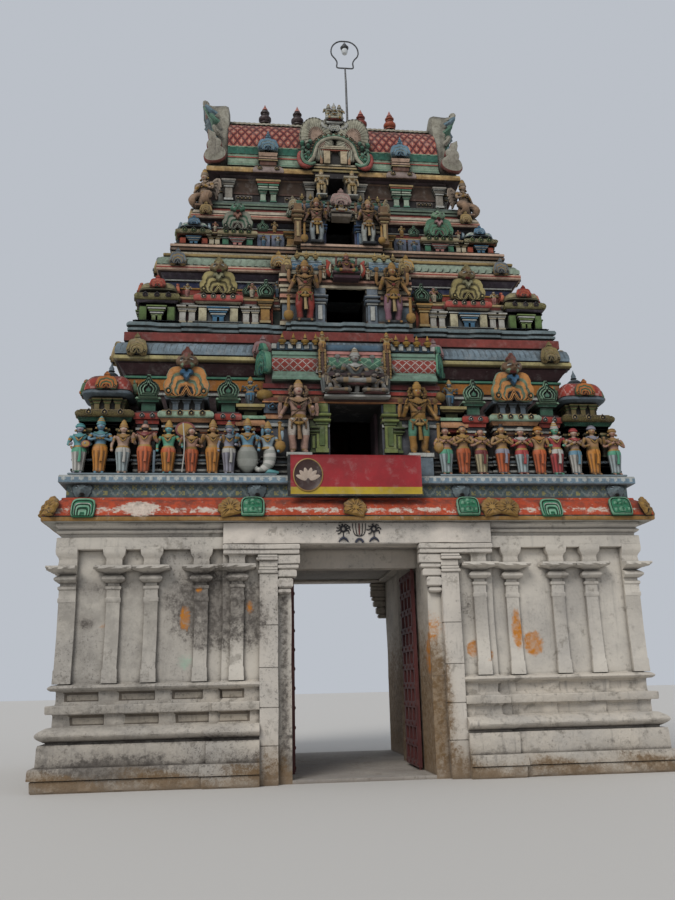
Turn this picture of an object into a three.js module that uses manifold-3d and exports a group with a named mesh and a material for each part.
// A gopuram, the painted gate tower of a south Indian temple. A stone base with a gateway through it
// carries three hollow plastered tiers, a neck and a barrel roof with five finials and a lamp pole.
import * as THREE from 'three';
import { mergeVertices } from 'three/addons/utils/BufferGeometryUtils.js';
import Module from 'manifold-3d';

const wasm = await Module();
wasm.setup();

// Driving dimensions, in millimetres. X runs to the right, the front faces -Y and Z is up.
const CORNICE_HALF_WIDTH = 5600; // the widest line of the tower, the edge of the main cornice
const CORNICE_HALF_DEPTH = 3280;
const DEPTH_STEP = 0.94; // how far the front steps back for each step in at the sides
const BAY_HALF = 2450; // the middle bay of the base stands forward
const BAY_FORWARD = 80;

const PASSAGE_HALF = 1240; // the gateway between its stone jambs
const REAR_PASSAGE_HALF = 1450; // behind the doors the passage is wider
const REAR_START = 3400; // measured back from the edge of the main cornice, as all depths below are
const POST_INNER = 1480;
const POST_OUTER = 1800;
const POST_FRONT = 150;
const JAMB_FRONT = 296; // in line with the middle bay's wall
const CORBEL_INNER = 1080;
const LINTEL_BOTTOM = 4050;
const LINTEL_DEPTH = 620;
const CEILING_BOTTOM = 4100;
const FLOOR_TOP = 60;

const PLINTH_TOP = 1720;
const BASE_TOP = 4450;
const LEDGE_TOP = 5330;
const PILASTERS = [2195, 2825, 3695, 4345, 5115]; // their middles on the front, to each side
const SIDE_PILASTERS = [800, 2250];
const PILASTER_FORWARD = 90;

const LEAF_WIDTH = 1190;
const LEAF_THICKNESS = 70;
const LEAF_BOTTOM = 100;
const LEAF_TOP = 3700;
const LEAF_FACE = 1130; // how far the open leaf's inner face is from the middle of the passage
const LEAF_NEAR = 1300; // the depth of the hinge edge
const HEAD_BEAM_BOTTOM = 3740;
const HEAD_BEAM_DEPTHS = [1180, 1490];
const PIN_RADIUS = 25;
const PIN_HOLE_RADIUS = 31;
const SEAT_GAP = 0.3;

const TIERS = [
  {
    name: 'tier1', floor: LEDGE_TOP, wall: 4400, thickness: 600, band: 4800, bandTop: 6600,
    windowHalf: 510, sill: 5450, head: 6850, bayHalf: 1700, bayFront: 560, ceiling: 7800,
    shrineEdge: 5100, cornerHalf: 430, corniceOut: 120, cornice: [6490, 6620], neckTop: 6930, domeTop: 7280,
    tip: 7600, mid: 3185, midHalf: 415, small: [2400, 3900], smallHalf: 215, gableTop: 7880, smallTop: 7320,
    lintel: [6850, 6980], groupHalf: 640, groupTop: 7960, barrel: [700, 1640, 7300, 7960], finialTop: 8200,
    finialPlaces: [0.2, 0.5, 0.8],
    guardian: { x: 1155, depth: 440, foot: 5790, height: 1470, girth: 1.1 },
  },
  {
    name: 'tier2', floor: 8730, wall: 3750, thickness: 500, band: 4120, bandTop: 9370,
    windowHalf: 420, sill: 8760, head: 9580, bayHalf: 1350, bayFront: 1120, ceiling: 10120,
    shrineEdge: 4240, cornerHalf: 350, corniceOut: 80, cornice: [9280, 9430], neckTop: 9450, domeTop: 9720,
    tip: 9900, mid: 2645, midHalf: 400, small: [], smallHalf: 0, gableTop: 10240, smallTop: 0,
    lintel: [9580, 9700], groupHalf: 420, groupTop: 10420, barrel: [500, 1150, 10050, 10420], finialTop: 10560,
    finialPlaces: [],
    guardian: { x: 925, depth: 1060, foot: 8730, height: 1310, girth: 1.15 },
  },
  {
    name: 'tier3', floor: 10890, wall: 3100, thickness: 400, band: 3450, bandTop: 11250,
    windowHalf: 320, sill: 10910, head: 11570, bayHalf: 950, bayFront: 1760, ceiling: 11760,
    shrineEdge: 3520, cornerHalf: 290, corniceOut: 70, cornice: [11210, 11320], neckTop: 11340, domeTop: 11560,
    tip: 11720, mid: 2275, midHalf: 330, small: [], smallHalf: 0, gableTop: 12040, smallTop: 0,
    lintel: [11570, 11660], groupHalf: 300, groupTop: 12180, barrel: [380, 800, 11900, 12180], finialTop: 12300,
    finialPlaces: [],
    guardian: { x: 570, depth: 1700, foot: 10890, height: 1070, girth: 1.15 },
  },
];

// Rising profiles, as half width and height. Each cornice also carries the base of the tier above it.
const PLINTH = [
  [5500, 0], [5500, 200], [5540, 200], [5540, 380], [5440, 380], [5440, 740], [5340, 740], [5340, 770],
  [5450, 840], [5450, 920], [5340, 990], [5250, 990], [5250, 1220], [5370, 1220], [5370, 1360], [5220, 1360],
  [5220, 1590], [5360, 1590], [5360, 1690], [5200, PLINTH_TOP],
];
const BASE_WALL = [
  [5200, PLINTH_TOP], [5200, 4020], [5270, 4020], [5270, 4210], [5230, 4210], [5380, 4400], [5380, BASE_TOP],
];
const MAIN_CORNICE = [
  [5600, BASE_TOP], [5600, 4530], [5560, 4660], [5470, 4790], [5340, 4880], [5340, 4920],
];
const FIGURE_LEDGE = [[5260, 4920], [5260, 5180], [5390, 5180], [5390, LEDGE_TOP]];
const CORNICES = [
  [[4500, 7800], [4650, 7840], [4650, 7950], [4600, 8080], [4480, 8180], [4420, 8370], [4490, 8370],
    [4490, 8490], [4340, 8490], [4340, 8560], [4400, 8560], [4400, 8730]],
  [[3850, 10120], [3970, 10150], [3970, 10250], [3920, 10350], [3800, 10450], [3800, 10600], [3660, 10600],
    [3660, 10710], [3720, 10710], [3720, 10890]],
  [[3200, 11760], [3320, 11790], [3320, 11870], [3270, 11970], [3150, 12040], [3150, 12130], [2980, 12130],
    [2980, 12330], [2900, 12330], [2900, 12470]],
];
const CORNICE_BAYS = [1500, 1150, 800]; // half widths of their middle bays
const CORNICE_BAY_FORWARD = 200;

const NECK = {
  floor: 12470, top: 13170, half: 2620, deep: 640, windowHalf: 200, sill: 12600, head: 13050, porchHalf: 440,
  porchDepth: 2360,
};
const EAVE = { half: 3020, deep: 860, bottom: 13170, top: 13390 };
// The barrel roof's section above its eave, as half depth and height.
const BARREL = [
  [800, EAVE.top], [720, 13490], [690, 13770], [650, 13950], [530, 14530], [300, 14860], [150, 14920],
];
const ROOF_HALF = 2540;
const GABLE_END = { outer: 2900, top: 15370, half: 840 };
const MAIN_GABLE = { half: 870, top: 15190, front: 2300, back: 3050, footHalf: 500 };
const RIDGE_TOP = 15150;
const RIDGE_HALF_DEPTH = 150;
const CORNER_FIGURE = { x: 3060, y: 880, foot: 12130, height: 1010, girth: 1.3 };
const FINIAL_SPACING = 800;
const FINIAL_HEIGHT = 510;
const LAMP = { x: 400, ringBottom: 16940, ringTop: 17750, ringHalf: 330, poleRadius: 22, tubeRadius: 18 };

const FIGURE_HEIGHT = 1020;
const FIGURES_LEFT = [5080, 4710, 4300, 3910, 3480, 3060, 2670, 2370, 2030, 1650];
const FIGURES_RIGHT = [1740, 2080, 2430, 2850, 3230, 3580, 3920, 4300, 4670, 5090];
const SIDE_FIGURES = [-2100, -1400, -700, 0, 700, 1400, 2100];
const FIGURE_DEPTH = 330;
const FIGURE_SIDE = 5245;
const FIGURE_GIRTH = 0.85;
const STRIP_HALF = 125;

const SIGN = { half: 1220, bottom: 4925, top: 5660, thickness: 40 };

const colours = {
  limewash: 0xb9b4aa, stone: 0x8c857a, door: 0x4a1c1c, cornice: 0xa8442c, frieze: 0x6d7f93, board: 0xa01c24,
  tier1: 0x7a5b46, tier2: 0x6f8394, tier3: 0x9a8a6e, shrines1: 0x7f8f63, shrines2: 0x9a9a6c, shrines3: 0xa8503a,
  figures: 0xb07a4c, roof: 0xb98a72, plaster: 0xaaa898, finial: 0x3c1f1c, metal: 0x77797a,
};

const gopuram = new THREE.Group();

const halfDepth = (halfWidth) => CORNICE_HALF_DEPTH - DEPTH_STEP * (CORNICE_HALF_WIDTH - halfWidth);
const atDepth = (depth) => depth - CORNICE_HALF_DEPTH;

function solidOf(geometry) {
  const bare = geometry.clone();
  bare.deleteAttribute('normal');
  bare.deleteAttribute('uv');
  const merged = mergeVertices(bare, 1e-3);
  return new wasm.Manifold(new wasm.Mesh({
    numProp: 3,
    vertProperties: new Float32Array(merged.attributes.position.array),
    triVerts: new Uint32Array(merged.index.array),
  }));
}

function geometryOf(solid) {
  const mesh = solid.getMesh();
  const geometry = new THREE.BufferGeometry();
  geometry.setAttribute('position', new THREE.BufferAttribute(new Float32Array(mesh.vertProperties), 3));
  geometry.setIndex(new THREE.BufferAttribute(new Uint32Array(mesh.triVerts), 1));
  return geometry;
}

// The same shape on the other side of the middle: axis 0 swaps left and right, axis 1 front and back.
function mirrored(geometry, axis) {
  const copy = geometry.clone();
  copy.scale(axis === 0 ? -1 : 1, axis === 1 ? -1 : 1, 1);
  const index = copy.index.array;
  for (let i = 0; i < index.length; i += 3) {
    [index[i], index[i + 1]] = [index[i + 1], index[i]];
  }
  return copy;
}

const joined = (solids) => solids.reduce((all, one) => all.add(one));
const cut = (solid, tools) => tools.reduce((left, tool) => left.subtract(tool), solid);

function box([x0, x1], [y0, y1], [z0, z1]) {
  const geometry = new THREE.BoxGeometry(x1 - x0, y1 - y0, z1 - z0);
  geometry.translate((x0 + x1) / 2, (y0 + y1) / 2, (z0 + z1) / 2);
  return solidOf(geometry);
}

function extruded(outline, depth, basis) {
  const shape = new THREE.Shape(outline.map(([a, b]) => new THREE.Vector2(a, b)));
  const geometry = new THREE.ExtrudeGeometry(shape, { depth, bevelEnabled: false });
  return geometry.applyMatrix4(basis);
}

// An outline in X and Z carried along Y.
function prismAlongY(outline, [y0, y1]) {
  const basis = new THREE.Matrix4().makeBasis(
    new THREE.Vector3(1, 0, 0), new THREE.Vector3(0, 0, 1), new THREE.Vector3(0, -1, 0));
  const geometry = extruded(outline, y1 - y0, basis);
  return solidOf(geometry.translate(0, y1, 0));
}

// An outline in Y and Z carried along X.
function prismAlongX(outline, [x0, x1]) {
  const basis = new THREE.Matrix4().makeBasis(
    new THREE.Vector3(0, 1, 0), new THREE.Vector3(0, 0, 1), new THREE.Vector3(1, 0, 0));
  const geometry = extruded(outline, x1 - x0, basis);
  return solidOf(geometry.translate(x0, 0, 0));
}

// Both edges of a rising profile, as one closed outline round the given middle.
function bothEdges(levels, middle) {
  const right = levels.map(([half, z]) => [middle + half, z]);
  const left = levels.map(([half, z]) => [middle - half, z]).reverse();
  return [...right, ...left];
}

// A block that steps in and out as it rises, with mitred corners. A level is half width, half depth, height.
function stepped(levels, x = 0, y = 0) {
  const reach = Math.max(...levels.map(([wide, deep]) => Math.max(wide, deep))) + 10;
  const front = bothEdges(levels.map(([wide, , z]) => [wide, z]), x);
  const side = bothEdges(levels.map(([, deep, z]) => [deep, z]), y);
  return prismAlongY(front, [y - reach, y + reach]).intersect(prismAlongX(side, [x - reach, x + reach]));
}

// A moulded storey of the tower from a rising profile of half widths.
const storey = (profile) => stepped(profile.map(([wide, z]) => [wide, halfDepth(wide), z]));

// The middle bay of a storey, standing forward of it at the front and the back.
function bay(profile, half, forward) {
  return prismAlongX(bothEdges(profile.map(([wide, z]) => [halfDepth(wide) + forward, z]), 0), [-half, half]);
}

// A turned solid on an upright axis. A point is radius and height, and the ends lie on the axis.
function turned(points, sides, x, y, z) {
  const profile = points.map(([radius, height]) => new THREE.Vector2(radius, height));
  const geometry = new THREE.LatheGeometry(profile, sides);
  geometry.rotateX(Math.PI / 2);
  geometry.translate(x, y, z);
  return solidOf(geometry);
}

// A horseshoe gable with a pointed crest, as an outline in two directions.
function horseshoe(half, bottom, top, middle = 0) {
  const footAngle = THREE.MathUtils.degToRad(60);
  const steps = 8;
  const crest = 0.22 * (top - bottom);
  const radius = (top - bottom - crest) / (1 + Math.sin(footAngle));
  const points = [];
  for (let i = 0; i <= steps; i += 1) {
    const angle = -footAngle + (i / steps) * (Math.PI + 2 * footAngle);
    const rise = radius * (Math.sin(footAngle) + Math.sin(angle));
    const pinch = i === steps / 2 ? crest : 0;
    points.push([middle + half * Math.cos(angle), bottom + rise + pinch]);
  }
  return points;
}

function add(name, shape, colour, roughness = 0.85, metalness = 0) {
  const material = new THREE.MeshStandardMaterial({ color: colours[colour], roughness, metalness });
  const mesh = new THREE.Mesh(shape, material);
  mesh.name = name;
  gopuram.add(mesh);
}

const beyond = 9000; // past every face of the tower, for cutting tools
const leftHalf = box([-beyond, 0], [-beyond, beyond], [-100, 20000]);

// The empty space of the gateway, and the recess in front of the jambs where the posts stand.
const frontPassage = box([-PASSAGE_HALF, PASSAGE_HALF], [-beyond, atDepth(REAR_START)], [-100, BASE_TOP + 100]);
const rearPassage = box(
  [-REAR_PASSAGE_HALF, REAR_PASSAGE_HALF], [atDepth(REAR_START), beyond], [-100, BASE_TOP + 100]);
const postRecesses = [-1, 1].map((side) => box(
  [-POST_OUTER, POST_OUTER],
  side < 0 ? [-beyond, atDepth(JAMB_FRONT)] : [-atDepth(JAMB_FRONT), beyond],
  [-100, BASE_TOP + 100]));

// Plinth, the moulded foot of the base on each side of the gateway.
const plinth = cut(storey(PLINTH).add(bay(PLINTH, BAY_HALF, BAY_FORWARD)).intersect(leftHalf),
  [frontPassage, rearPassage, ...postRecesses]);
add('plinth_left', geometryOf(plinth), 'stone');
add('plinth_right', mirrored(geometryOf(plinth), 0), 'stone');

// A pilaster from the plinth to the beam: shaft, flaring capital, broad plank and bracket, as half width,
// how far it stands out past the shaft, and height. On the side walls the two directions change places.
const PILASTER = [
  [125, 0, PLINTH_TOP], [125, 0, 3440], [325, 140, 3660], [325, 140, 3770], [150, 20, 3770], [150, 20, 4030],
];
function pilaster(x, y, sideways = false) {
  const levels = PILASTER.map(([half, out, z]) => [half, PILASTER_FORWARD + out, z]);
  return stepped(sideways ? levels.map(([half, deep, z]) => [deep, half, z]) : levels, x, y);
}

// Base walls, thick stone masonry with pilasters, notched for the lintels, the ceiling and the head beam.
const wallFace = halfDepth(BASE_WALL[0][0]);
const lintelSpace = [-1, 1].map((side) => box(
  [-BAY_HALF, BAY_HALF],
  side < 0 ? [-beyond, atDepth(LINTEL_DEPTH)] : [-atDepth(LINTEL_DEPTH), beyond],
  [LINTEL_BOTTOM, BASE_TOP + 100]));
const ceilingHalf = 1600;
const ceilingSpace = box([-ceilingHalf, ceilingHalf], [atDepth(LINTEL_DEPTH), -atDepth(LINTEL_DEPTH)],
  [CEILING_BOTTOM, BASE_TOP + 100]);
const headBeamHalf = PASSAGE_HALF + 150;
const headBeamSpace = box([-headBeamHalf, headBeamHalf], HEAD_BEAM_DEPTHS.map(atDepth),
  [HEAD_BEAM_BOTTOM, CEILING_BOTTOM]);
const pilasters = PILASTERS.flatMap((x) => {
  const face = wallFace + (x < BAY_HALF ? BAY_FORWARD : 0);
  return [pilaster(-x, -face), pilaster(-x, face)];
});
const sidePilasters = SIDE_PILASTERS.flatMap((y) => [-y, y].map((at) => pilaster(-BASE_WALL[0][0], at, true)));
const corbelSpaces = [-1, 1].map((side) => box(
  [-BAY_HALF, BAY_HALF],
  side < 0 ? [-beyond, atDepth(JAMB_FRONT)] : [-atDepth(JAMB_FRONT), beyond],
  [3860, LINTEL_BOTTOM]));
const wallBay = prismAlongX(bothEdges([[wallFace + BAY_FORWARD, PLINTH_TOP], [wallFace + BAY_FORWARD, 4210]], 0),
  [-BAY_HALF, BAY_HALF]);
const baseWall = cut(joined([storey(BASE_WALL), wallBay, ...pilasters, ...sidePilasters]).intersect(leftHalf),
  [frontPassage, rearPassage, ...postRecesses, ...lintelSpace, ...corbelSpaces, ceilingSpace, headBeamSpace]);
add('base_wall_left', geometryOf(baseWall), 'limewash');
add('base_wall_right', mirrored(geometryOf(baseWall), 0), 'limewash');

// Gate posts, each with a moulded capital and a stepped corbel that carries the lintel.
const postDepths = [atDepth(POST_FRONT), atDepth(JAMB_FRONT)];
const gatePost = geometryOf(joined([
  box([-POST_OUTER, -POST_INNER], postDepths, [0, 3540]),
  box([-POST_OUTER - 30, -POST_INNER], [atDepth(POST_FRONT - 40), atDepth(JAMB_FRONT)], [3540, 3640]),
  box([-POST_OUTER, -POST_INNER], postDepths, [3640, 3760]),
  box([-POST_OUTER - 60, -POST_INNER], [atDepth(POST_FRONT - 60), atDepth(JAMB_FRONT)], [3760, 3860]),
  box([-POST_INNER, -CORBEL_INNER], postDepths, [3450, 3860]),
  box([-POST_INNER, -CORBEL_INNER - 130], postDepths, [3170, 3450]),
  box([-BAY_HALF, -CORBEL_INNER], [atDepth(POST_FRONT - 40), atDepth(JAMB_FRONT)], [3860, LINTEL_BOTTOM]),
]));
add('gate_post_front_left', gatePost, 'limewash');
add('gate_post_front_right', mirrored(gatePost, 0), 'limewash');
add('gate_post_back_left', mirrored(gatePost, 1), 'limewash');
add('gate_post_back_right', mirrored(mirrored(gatePost, 0), 1), 'limewash');

// Lintels over the front and the back of the gateway.
const lintel = geometryOf(box([-BAY_HALF, BAY_HALF], [atDepth(POST_FRONT), atDepth(LINTEL_DEPTH)],
  [LINTEL_BOTTOM, BASE_TOP]));
add('lintel_front', lintel, 'limewash');
add('lintel_back', mirrored(lintel, 1), 'limewash');

// The passage: ceiling slab, the beam that holds the door pivots, and a paved floor with pivot sockets.
add('passage_ceiling', geometryOf(box([-ceilingHalf, ceilingHalf],
  [atDepth(LINTEL_DEPTH), -atDepth(LINTEL_DEPTH)], [CEILING_BOTTOM, BASE_TOP])), 'stone');
const pivotX = LEAF_FACE + LEAF_THICKNESS / 2;
const pivotDepth = LEAF_NEAR + LEAF_THICKNESS / 2;
const pinHole = (x, z0, z1) => turned(
  [[0, 0], [PIN_HOLE_RADIUS, 0], [PIN_HOLE_RADIUS, z1 - z0], [0, z1 - z0]], 16, x, atDepth(pivotDepth), z0);
const pinBottom = 20;
const pinTop = LEAF_TOP + 180;
add('door_head_beam', geometryOf(cut(
  box([-headBeamHalf, headBeamHalf], HEAD_BEAM_DEPTHS.map(atDepth), [HEAD_BEAM_BOTTOM, CEILING_BOTTOM]),
  [-pivotX, pivotX].map((x) => pinHole(x, HEAD_BEAM_BOTTOM - 1, pinTop + 20)))), 'limewash');
add('passage_floor', geometryOf(cut(
  box([-PASSAGE_HALF, PASSAGE_HALF], [atDepth(JAMB_FRONT), atDepth(REAR_START)], [0, FLOOR_TOP])
    .add(box([-REAR_PASSAGE_HALF, REAR_PASSAGE_HALF], [atDepth(REAR_START), -atDepth(JAMB_FRONT)], [0, FLOOR_TOP])),
  [-pivotX, pivotX].map((x) => pinHole(x, pinBottom, FLOOR_TOP + 1)))), 'stone');

// Door leaves, ledged wood with three rows of upright slots, open against the passage walls.
const SLOT_COLUMNS = 3;
const SLOT_ROWS = 10;
const STILE = 110;
const RAIL = 120;
function doorLeaf() {
  const depths = [LEAF_NEAR, LEAF_NEAR + LEAF_WIDTH];
  const slots = [];
  const columnPitch = (LEAF_WIDTH - STILE) / SLOT_COLUMNS;
  const rowPitch = (LEAF_TOP - LEAF_BOTTOM - RAIL) / SLOT_ROWS;
  for (let row = 0; row < SLOT_ROWS; row += 1) {
    for (let column = 0; column < SLOT_COLUMNS; column += 1) {
      const near = atDepth(LEAF_NEAR + STILE + column * columnPitch);
      const low = LEAF_BOTTOM + RAIL + row * rowPitch;
      slots.push(box([0, 2 * LEAF_FACE], [near, near + columnPitch - STILE], [low, low + rowPitch - RAIL]));
    }
  }
  const panel = cut(box([LEAF_FACE, LEAF_FACE + LEAF_THICKNESS], depths.map(atDepth), [LEAF_BOTTOM, LEAF_TOP]), slots);
  const pin = (z0, z1) => turned(
    [[0, 0], [PIN_RADIUS, 0], [PIN_RADIUS, z1 - z0], [0, z1 - z0]], 16, pivotX, atDepth(pivotDepth), z0);
  return joined([panel, pin(pinBottom + SEAT_GAP, LEAF_BOTTOM + 30), pin(LEAF_TOP - 30, pinTop)]);
}
const leaf = geometryOf(doorLeaf());
add('door_leaf_right', leaf, 'door', 0.6);
add('door_leaf_left', mirrored(leaf, 0), 'door', 0.6);

// The main cornice and the ledge that the row of figures stands on.
add('main_cornice', geometryOf(storey(MAIN_CORNICE)), 'cornice');
add('figure_ledge', geometryOf(storey(FIGURE_LEDGE)), 'frieze');

// A name board without words, on three small brackets from the ledge.
const boardBack = atDepth(SIGN.thickness / 2);
const ledgeFace = -halfDepth(FIGURE_LEDGE[2][0]);
const bracket = (x) => box([x - 20, x + 20], [boardBack, ledgeFace], [5230, 5270]);
add('sign_board', geometryOf(joined([
  box([-SIGN.half, SIGN.half], [boardBack - SIGN.thickness, boardBack], [SIGN.bottom, SIGN.top]),
  ...[-900, 0, 900].map(bracket)])), 'board', 0.5);

// A standing figure: dress, waist, chest, shoulders, neck, head and crown in one turned shape.
const FIGURE = [[0, 0], [0.13, 0], [0.15, 0.28], [0.1, 0.52], [0.145, 0.76], [0.06, 0.82], [0.08, 0.92], [0, 1]];
const FIGURE_SIDES = 5;
function figure(x, y, foot, height, girth = 1) {
  return turned(FIGURE.map(([radius, z]) => [radius * height * girth, z * height]), FIGURE_SIDES, x, y, foot);
}

// Rows of figures, each joined by the low strip of plaster that it stands on.
function figureRow(places, sideways) {
  const strip = 40;
  const foot = LEDGE_TOP + strip - 1;
  const bodies = places.map((at) => (sideways
    ? figure(-FIGURE_SIDE, at, foot, FIGURE_HEIGHT, FIGURE_GIRTH)
    : figure(at, atDepth(FIGURE_DEPTH), foot, FIGURE_HEIGHT, FIGURE_GIRTH)));
  const ends = [Math.min(...places) - 160, Math.max(...places) + 160];
  const across = sideways
    ? [-FIGURE_SIDE - STRIP_HALF, -FIGURE_SIDE + STRIP_HALF]
    : [atDepth(FIGURE_DEPTH - STRIP_HALF), atDepth(FIGURE_DEPTH + STRIP_HALF)];
  const heights = [LEDGE_TOP, LEDGE_TOP + strip];
  const span = sideways ? box(across, ends, heights) : box(ends, across, heights);
  return geometryOf(joined([span, ...bodies]));
}
const leftRow = figureRow(FIGURES_LEFT.map((x) => -x), false);
const rightRow = figureRow(FIGURES_RIGHT, false);
add('figures_front_left', leftRow, 'figures');
add('figures_front_right', rightRow, 'figures');
add('figures_back_left', mirrored(leftRow, 1), 'figures');
add('figures_back_right', mirrored(rightRow, 1), 'figures');
const sideRow = figureRow(SIDE_FIGURES, true);
add('figures_side_left', sideRow, 'figures');
add('figures_side_right', mirrored(sideRow, 0), 'figures');

// A corner shrine: square body, cornice, neck and a four sided dome with a finial.
function cornerShrine(tier, x, y) {
  const half = tier.cornerHalf;
  const [low, high] = tier.cornice;
  const square = ([size, z]) => [size, size, z];
  const finial = Math.max(40, half * 0.14);
  return stepped([
    [half, tier.floor], [half, low], [half + tier.corniceOut, low], [half + tier.corniceOut, high],
    [half * 0.8, high], [half * 0.8, tier.neckTop], [half, tier.neckTop], [half, tier.neckTop + 110],
    [half * 0.7, tier.domeTop - 60], [finial, tier.domeTop], [finial, tier.tip],
  ].map(square), x, y);
}

// A middle shrine, facing -Y with its front on y: wide body, cornice, neck and a horseshoe gable.
function gabledShrine(tier, x, half, back, low, high, top) {
  const front = -halfDepth(tier.shrineEdge);
  const neck = half * 0.75;
  return joined([
    box([x - half, x + half], [front, back], [tier.floor, low]),
    box([x - half - 100, x + half + 100], [front - 80, back], [low, high]),
    box([x - neck, x + neck], [front + 80, back], [high, (high + top) / 2]),
    prismAlongY(horseshoe(half, high + 0.2 * (top - high), top, x), [front - 20, back]),
  ]);
}

// The shrines of one tier's left half, at the front, the side and the back, joined by a low band.
function shrineRow(tier, number) {
  const band = storey([[tier.band, tier.floor], [tier.band, tier.bandTop]]);
  const wall = storey([[tier.wall, tier.floor - 1], [tier.wall, tier.tip + 900]]);
  const corniceHalf = CORNICES[number][2][0] + SEAT_GAP;
  const corniceSpace = storey([[corniceHalf, tier.ceiling], [corniceHalf, tier.tip + 900]]);
  const bayGap = box([-tier.bayHalf, tier.bayHalf], [-beyond, beyond], [tier.floor - 1, tier.tip + 900]);
  const cornerX = -(tier.shrineEdge - tier.cornerHalf);
  const cornerY = halfDepth(tier.shrineEdge) - tier.cornerHalf;
  const back = -halfDepth(tier.wall) + 10;
  const [low, high] = tier.cornice;
  const front = [gabledShrine(tier, -tier.mid, tier.midHalf, back, low, high, tier.gableTop)];
  tier.small.forEach((x) => {
    front.push(gabledShrine(tier, -x, tier.smallHalf, back, high, high + 70, tier.smallTop));
  });
  const frontGeometry = geometryOf(joined(front));
  const sideShift = tier.shrineEdge - halfDepth(tier.shrineEdge);
  const side = geometryOf(gabledShrine(tier, 0, tier.midHalf * 1.15, back, low, high, tier.gableTop));
  side.rotateZ(-Math.PI / 2);
  side.translate(-sideShift, 0, 0);
  return geometryOf(cut(joined([
    band.intersect(leftHalf), solidOf(frontGeometry), solidOf(mirrored(frontGeometry, 1)), solidOf(side),
    cornerShrine(tier, cornerX, -cornerY), cornerShrine(tier, cornerX, cornerY),
  ]), [wall, corniceSpace, bayGap]));
}

// One half of a tier's hollow wall: a side and the parts of the front and the back up to the window.
function tierWall(tier) {
  const outer = storey([[tier.wall, tier.floor], [tier.wall, tier.ceiling]]);
  const inside = tier.wall - tier.thickness;
  const deep = halfDepth(tier.wall) - tier.thickness;
  const chamber = box([-inside, inside], [-deep, deep], [tier.floor - 1, tier.ceiling + 1]);
  const windowGap = box([-tier.windowHalf, tier.windowHalf], [-beyond, beyond], [tier.floor - 1, tier.ceiling + 1]);
  return geometryOf(cut(outer.intersect(leftHalf), [chamber, windowGap]));
}

// The middle of a tier's front: window surround, guardians, a carved group and small barrel roofs.
function porch(tier, number) {
  const wallFront = -halfDepth(tier.wall);
  const inner = wallFront + tier.thickness;
  const front = atDepth(tier.bayFront);
  const half = tier.windowHalf;
  const [lintelLow, lintelHigh] = tier.lintel;
  const [barrelInner, barrelOuter, barrelLow, barrelHigh] = tier.barrel;
  const { guardian } = tier;
  const feet = guardian.girth * guardian.height * 0.15;
  const pieces = [
    box([-half, half], [wallFront, inner], [tier.floor, tier.sill]),
    box([-half, half], [wallFront, inner], [tier.head, tier.ceiling]),
    box([-tier.bayHalf, tier.bayHalf], [front, wallFront], [tier.floor, tier.ceiling]),
    box([-tier.bayHalf - 60, tier.bayHalf + 60], [front - 60, wallFront], [lintelLow, lintelHigh]),
    box([-tier.groupHalf, tier.groupHalf], [front - 120, wallFront], [lintelHigh, tier.groupTop]),
  ];
  const finial = (x) => turned([[0, 0], [60, 0], [60, 90], [0, tier.finialTop - barrelHigh + 20]],
    FIGURE_SIDES, x, front, barrelHigh - 20);
  [-1, 1].forEach((side) => {
    const x = side * guardian.x;
    pieces.push(figure(x, atDepth(guardian.depth), guardian.foot, guardian.height, guardian.girth));
    if (guardian.foot > tier.floor) {
      const spread = [x - feet, x + feet];
      pieces.push(box(spread, [atDepth(guardian.depth) - feet, front + 10], [tier.floor, guardian.foot + 5]));
    }
    const span = [side * barrelInner, side * barrelOuter].sort((a, b) => a - b);
    const drum = [[front - 140, barrelLow], [front - 160, barrelLow + 90], [front - 90, barrelHigh - 60],
      [front, barrelHigh], [wallFront, barrelHigh], [wallFront, barrelLow]];
    pieces.push(prismAlongX(drum, span));
    tier.finialPlaces.forEach((share) => {
      pieces.push(finial(side * THREE.MathUtils.lerp(barrelInner, barrelOuter, share)));
    });
  });
  const corniceFace = -halfDepth(CORNICES[number][2][0]) - CORNICE_BAY_FORWARD;
  const windowSpace = box([-half, half], [-beyond, inner + 10], [tier.sill, tier.head]);
  const corniceSpace = box([-beyond, beyond], [corniceFace - SEAT_GAP, beyond], [tier.ceiling, 20000]);
  const shape = joined(pieces);
  return geometryOf(cut(shape, [windowSpace, corniceSpace]));
}

TIERS.forEach((tier, number) => {
  const wall = tierWall(tier);
  add(`${tier.name}_wall_left`, wall, tier.name);
  add(`${tier.name}_wall_right`, mirrored(wall, 0), tier.name);
  const shrines = shrineRow(tier, number);
  add(`${tier.name}_shrines_left`, shrines, `shrines${number + 1}`);
  add(`${tier.name}_shrines_right`, mirrored(shrines, 0), `shrines${number + 1}`);
  const front = porch(tier, number);
  add(`${tier.name}_porch_front`, front, 'plaster');
  add(`${tier.name}_porch_back`, mirrored(front, 1), 'plaster');
  const profile = CORNICES[number];
  const cornice = [storey(profile), bay(profile, CORNICE_BAYS[number], CORNICE_BAY_FORWARD)];
  if (number === TIERS.length - 1) {
    const { x, y, foot, height, girth } = CORNER_FIGURE;
    [-x, x].forEach((across) => [-y, y].forEach((along) => {
      cornice.push(figure(across, along, foot - 5, height, girth));
    }));
  }
  add(`${tier.name}_cornice`, geometryOf(joined(cornice)), tier.name);
});

// The neck under the roof, with a window that goes right through it between two small porches.
const neckPorch = -atDepth(NECK.porchDepth);
const windowSpan = [-NECK.windowHalf, NECK.windowHalf];
add('neck', geometryOf(cut(joined([
  stepped([[NECK.half, NECK.deep, NECK.floor], [NECK.half, NECK.deep, NECK.top]]),
  box([-NECK.porchHalf, NECK.porchHalf], [-neckPorch, neckPorch], [NECK.floor, NECK.top]),
]), [box(windowSpan, [-beyond, beyond], [NECK.sill, NECK.head])])), 'tier2');

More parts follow.
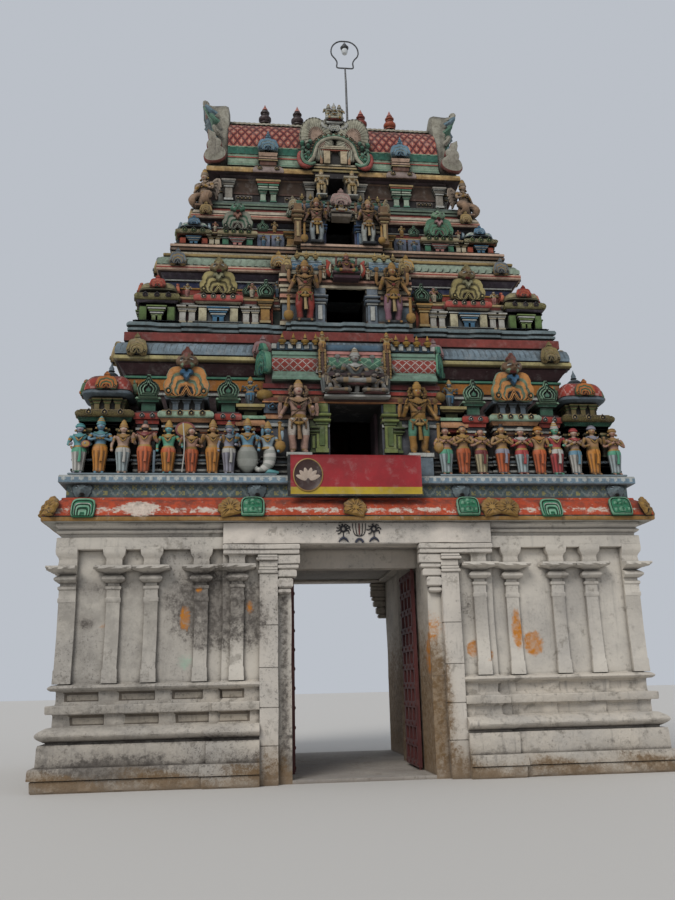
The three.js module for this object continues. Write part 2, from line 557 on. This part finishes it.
// The barrel roof on its eave.
const barrel = prismAlongX(bothEdges(BARREL, 0), [-ROOF_HALF, ROOF_HALF]);
const ridgeDepths = [-RIDGE_HALF_DEPTH, RIDGE_HALF_DEPTH];
const ridge = box([-ROOF_HALF, ROOF_HALF], ridgeDepths, [BARREL.at(-1)[1], RIDGE_TOP]);
add('roof_eave', geometryOf(
  box([-EAVE.half, EAVE.half], [-EAVE.deep, EAVE.deep], [EAVE.bottom, EAVE.top])), 'roof');
add('barrel_roof', geometryOf(barrel), 'roof');

// Horned horseshoe gables that close the two ends of the barrel.
const gableEnd = geometryOf(prismAlongX(horseshoe(GABLE_END.half, EAVE.top, GABLE_END.top),
  [-GABLE_END.outer, -ROOF_HALF]));
add('gable_end_left', gableEnd, 'plaster');
add('gable_end_right', mirrored(gableEnd, 0), 'plaster');

// The great gable in the middle of each long side, with its foot in front of the eave.
const roofSpace = prismAlongX(bothEdges([...BARREL, [RIDGE_HALF_DEPTH, RIDGE_TOP + 10]].map(
  ([deep, z]) => [deep + SEAT_GAP, z]), 0), [-ROOF_HALF, ROOF_HALF]);
const gableFront = atDepth(MAIN_GABLE.front);
const mainGable = geometryOf(cut(joined([
  prismAlongY(horseshoe(MAIN_GABLE.half, EAVE.top, MAIN_GABLE.top), [gableFront, atDepth(MAIN_GABLE.back)]),
  box([-MAIN_GABLE.footHalf, MAIN_GABLE.footHalf], [gableFront, -EAVE.deep], [EAVE.bottom, EAVE.top + 60]),
]), [roofSpace]));
add('main_gable_front', mainGable, 'plaster');
add('main_gable_back', mirrored(mainGable, 1), 'plaster');

// The ridge with its five finials.
const FINIAL = [[0, -20], [85, -20], [135, 130], [120, 230], [45, 270], [70, 310], [0, FINIAL_HEIGHT]];
const finials = [-2, -1, 0, 1, 2].map((step) => turned(FINIAL, 7, step * FINIAL_SPACING, 0, RIDGE_TOP));
add('ridge_and_finials', geometryOf(joined([ridge, ...finials])), 'finial', 0.5);

// A pole on the ridge that carries a lamp inside a ring shaped like a bulb.
function lampPole() {
  const ringHeight = LAMP.ringTop - LAMP.ringBottom;
  const ring = new THREE.TorusGeometry(LAMP.ringHalf, LAMP.tubeRadius, 4, 16);
  ring.scale(1, (ringHeight / 2) / LAMP.ringHalf, 1);
  ring.rotateX(Math.PI / 2);
  ring.translate(LAMP.x, 0, (LAMP.ringBottom + LAMP.ringTop) / 2);
  const lampBottom = LAMP.ringBottom + 0.55 * ringHeight;
  return geometryOf(joined([
    turned([[0, 0], [60, 0], [60, 20], [LAMP.poleRadius, 40], [LAMP.poleRadius, lampBottom - RIDGE_TOP],
      [60, lampBottom - RIDGE_TOP + 40], [70, lampBottom - RIDGE_TOP + 110], [0, lampBottom - RIDGE_TOP + 170]],
    8, LAMP.x, 0, RIDGE_TOP),
    solidOf(ring),
  ]));
}
add('lamp_pole', lampPole(), 'metal', 0.5, 0.6);

export default gopuram;
